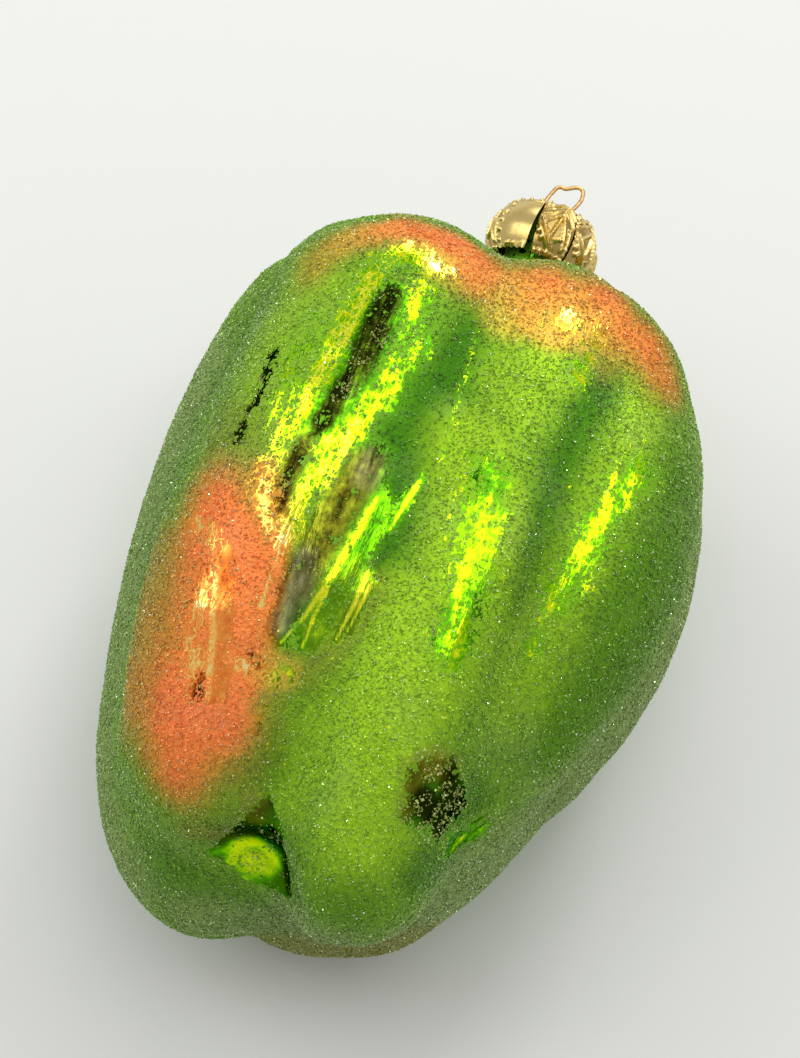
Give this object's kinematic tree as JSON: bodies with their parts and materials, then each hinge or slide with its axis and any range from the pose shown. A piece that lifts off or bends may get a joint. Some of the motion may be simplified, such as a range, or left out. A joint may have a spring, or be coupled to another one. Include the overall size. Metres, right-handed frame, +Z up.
{
  "type": "glass bell pepper ornament",
  "caption": "Blown-glass bell pepper ornament, hollow and lobed, with a pressed metal crown cap on its neck and a sprung wire hanger through the cap.",
  "frame": {"origin": "centre of the bounding box's underside: the middle of the footprint on the table that the ornament lies on", "axes": "+Z up from the table, +Y along the length from the blossom end to the cap, +X to the right when seen from above with the cap away"},
  "size_m": [0.0636, 0.0982, 0.0568],
  "materials": {
    "lacquered_glass": "silvered inside, translucent green and orange lacquer outside, strewn with fine glass glitter",
    "cap_metal": "bright pressed sheet, embossed",
    "wire_metal": "bright drawn wire"
  },
  "bodies": {
    "glass": {"glass_pepper": "lacquered_glass"},
    "cap": {"crown_cap": "cap_metal"},
    "hanger": {"wire_hanger": "wire_metal"}
  },
  "joints": [
    {"name": "cap_lift", "type": "slide", "parent": "glass", "child": "cap", "axis": [0.0006, 0.9954, 0.096], "range_m": [0, 0.02]},
    {"name": "hanger_swing", "type": "hinge", "parent": "cap", "child": "hanger", "pos_m": [0.00206, 0.04341, 0.02958], "axis": [0.9911, 0.0122, -0.1327], "range_deg": [-10, 10]}
  ]
}
